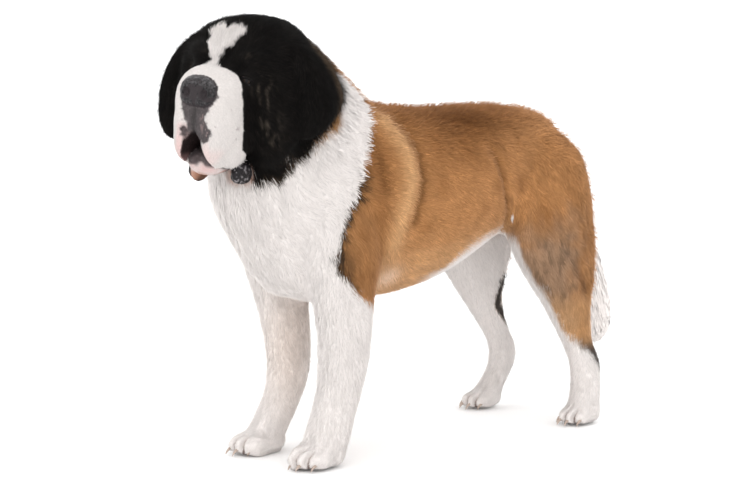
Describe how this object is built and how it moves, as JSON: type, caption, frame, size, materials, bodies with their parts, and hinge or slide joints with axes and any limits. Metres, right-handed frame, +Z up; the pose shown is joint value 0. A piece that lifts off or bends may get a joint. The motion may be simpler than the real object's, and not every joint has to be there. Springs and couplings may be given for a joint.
{
  "type": "standing saint bernard dog",
  "caption": "Life-size still model of an adult Saint Bernard dog, standing on all fours with its head turned to its left, as for a museum.",
  "frame": {"origin": "on the floor under the middle of the dog's outer box", "axes": "+Z up; the dog looks along -Y, its left side is at +X"},
  "size_m": [0.4216, 1.348, 0.9441],
  "materials": {
    "white_coat": "white hair, soft and matte",
    "black_coat": "black short hair with a faint sheen",
    "brown_coat": "mahogany hair, soft and matte",
    "lip": "thin haired skin of the chin and lower lips",
    "nose": "dark damp grained skin",
    "eye": "glossy dark brown",
    "claw": "dull horn"
  },
  "bodies": {
    "root": {"claw_front_left_a": "claw", "claw_front_left_b": "claw", "claw_front_left_c": "claw", "claw_front_left_d": "claw", "claw_front_right_a": "claw", "claw_front_right_b": "claw", "claw_front_right_c": "claw", "claw_front_right_d": "claw", "claw_hind_left_a": "claw", "claw_hind_left_b": "claw", "claw_hind_left_c": "claw", "claw_hind_left_d": "claw", "claw_hind_right_a": "claw", "claw_hind_right_b": "claw", "claw_hind_right_c": "claw", "claw_hind_right_d": "claw", "ear_left": "black_coat", "ear_right": "black_coat", "eye_left": "eye", "eye_right": "eye", "head": "black_coat", "leg_front_left_lower": "white_coat", "leg_front_left_upper": "white_coat", "leg_front_right_lower": "white_coat", "leg_front_right_upper": "white_coat", "leg_hind_left_lower": "white_coat", "leg_hind_left_upper": "brown_coat", "leg_hind_right_lower": "white_coat", "leg_hind_right_upper": "brown_coat", "lower_jaw": "lip", "muzzle": "white_coat", "neck": "white_coat", "nose": "nose", "paw_front_left": "white_coat", "paw_front_right": "white_coat", "paw_hind_left": "white_coat", "paw_hind_right": "white_coat", "tail": "white_coat", "torso": "brown_coat"}
  },
  "joints": []
}
